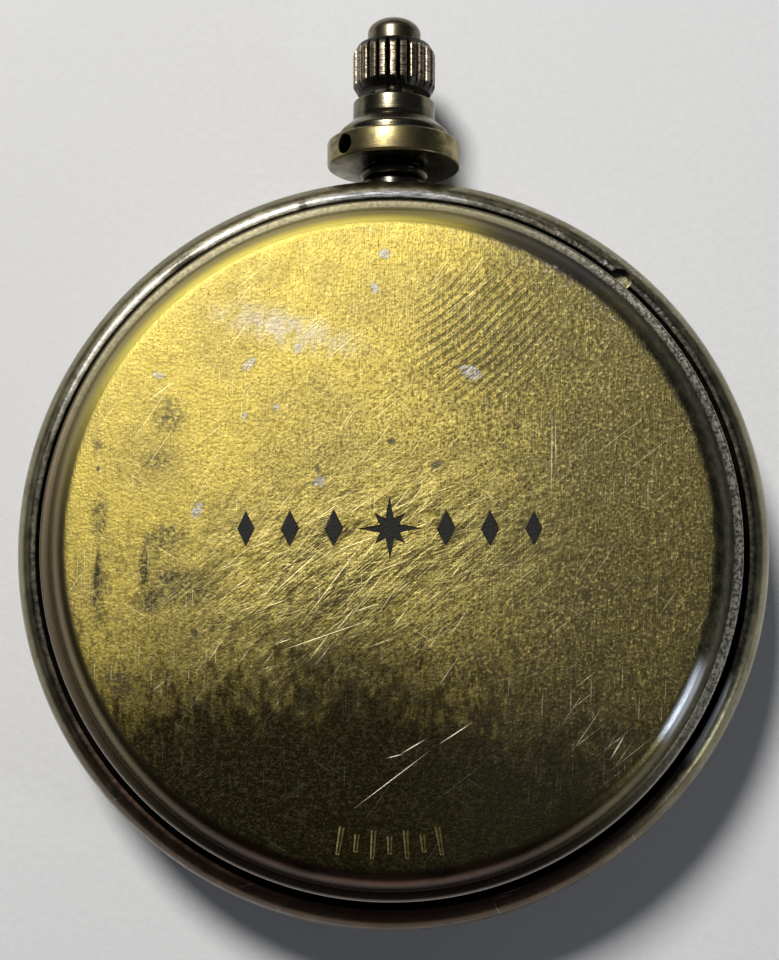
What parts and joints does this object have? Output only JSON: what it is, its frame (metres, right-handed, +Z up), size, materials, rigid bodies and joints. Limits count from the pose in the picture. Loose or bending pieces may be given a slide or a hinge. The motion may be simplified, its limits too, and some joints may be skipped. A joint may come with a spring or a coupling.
{
  "type": "pocket compass",
  "caption": "Round brass pocket compass in a hinged hunter case, with a push button in a fluted crown and a swivelling collar drilled for a bow.",
  "frame": {"origin": "centre of the front lid's flat outer face, on which the case lies", "axes": "+Z up out of the back cover, +Y towards the crown"},
  "size_m": [0.045, 0.0554, 0.0127],
  "materials": {
    "case_brass": "aged, worn silvery on the edges",
    "cover_brass": "brushed, tarnished and scratched",
    "pendant_brass": "dark polished",
    "crown_brass": "worn flutes",
    "bezel_brass": "polished",
    "inner_brass": "satin",
    "steel": "satin",
    "spring_steel": "blued",
    "glass": "polished",
    "gasket": "matt",
    "dial_paint": "matt",
    "ring_paint": "satin",
    "needle_dark": "blued",
    "needle_light": "satin",
    "jewel": "polished",
    "black_filling": "matt lacquer"
  },
  "bodies": {
    "lid": {"front_lid": "case_brass", "lid_catch": "inner_brass", "lid_knuckle_left": "case_brass", "lid_knuckle_right": "case_brass", "hinge_pin": "steel"},
    "case": {"case_band": "case_brass", "case_knuckle": "case_brass", "back_cover": "cover_brass", "cover_inlay": "black_filling", "stem_tube": "pendant_brass", "neck_base": "pendant_brass", "tube_nut": "inner_brass", "bezel_ring": "bezel_brass", "crystal": "glass", "crystal_gasket": "gasket", "capsule_cup": "inner_brass", "retaining_ring": "inner_brass", "ring_screw_1": "steel", "ring_screw_2": "steel", "ring_screw_3": "steel", "dial_plate": "dial_paint", "degree_ring": "ring_paint", "dial_spacer": "inner_brass", "pivot_base": "inner_brass", "pivot_pin": "steel", "lock_spring": "spring_steel", "lock_spring_screw": "steel", "lift_spring": "spring_steel", "lift_spring_screw": "steel"},
    "collar": {"bow_collar": "pendant_brass"},
    "push": {"push_rod": "steel", "button_cap": "pendant_brass", "crown_clip": "steel", "return_spring": "spring_steel"},
    "crown": {"fluted_crown": "crown_brass"},
    "needle": {"needle_north": "needle_dark", "needle_south": "needle_light", "needle_hub": "inner_brass", "needle_jewel": "jewel", "needle_weight": "inner_brass"}
  },
  "joints": [
    {"name": "case_hinge", "type": "hinge", "parent": "lid", "child": "case", "pos_m": [0, -0.0219, 0.00355], "axis": [1, 0, 0], "range_deg": [0, 105], "deforming": ["lock_spring"]},
    {"name": "button_press", "type": "slide", "parent": "case", "child": "push", "axis": [0, -1, 0], "range_m": [0, 0.0005], "stiffness_N_per_m": 1500, "springref_m": -0.0004, "deforming": ["return_spring"]},
    {"name": "crown_spin", "type": "hinge", "parent": "push", "child": "crown", "pos_m": [0, 0.0296, 0.006], "axis": [0, 1, 0], "continuous": true},
    {"name": "collar_swivel", "type": "hinge", "parent": "case", "child": "collar", "pos_m": [0, 0.0256, 0.006], "axis": [0, 1, 0], "continuous": true},
    {"name": "needle_spin", "type": "hinge", "parent": "case", "child": "needle", "pos_m": [0, 0, 0.0048], "axis": [0, 0, 1], "continuous": true}
  ]
}
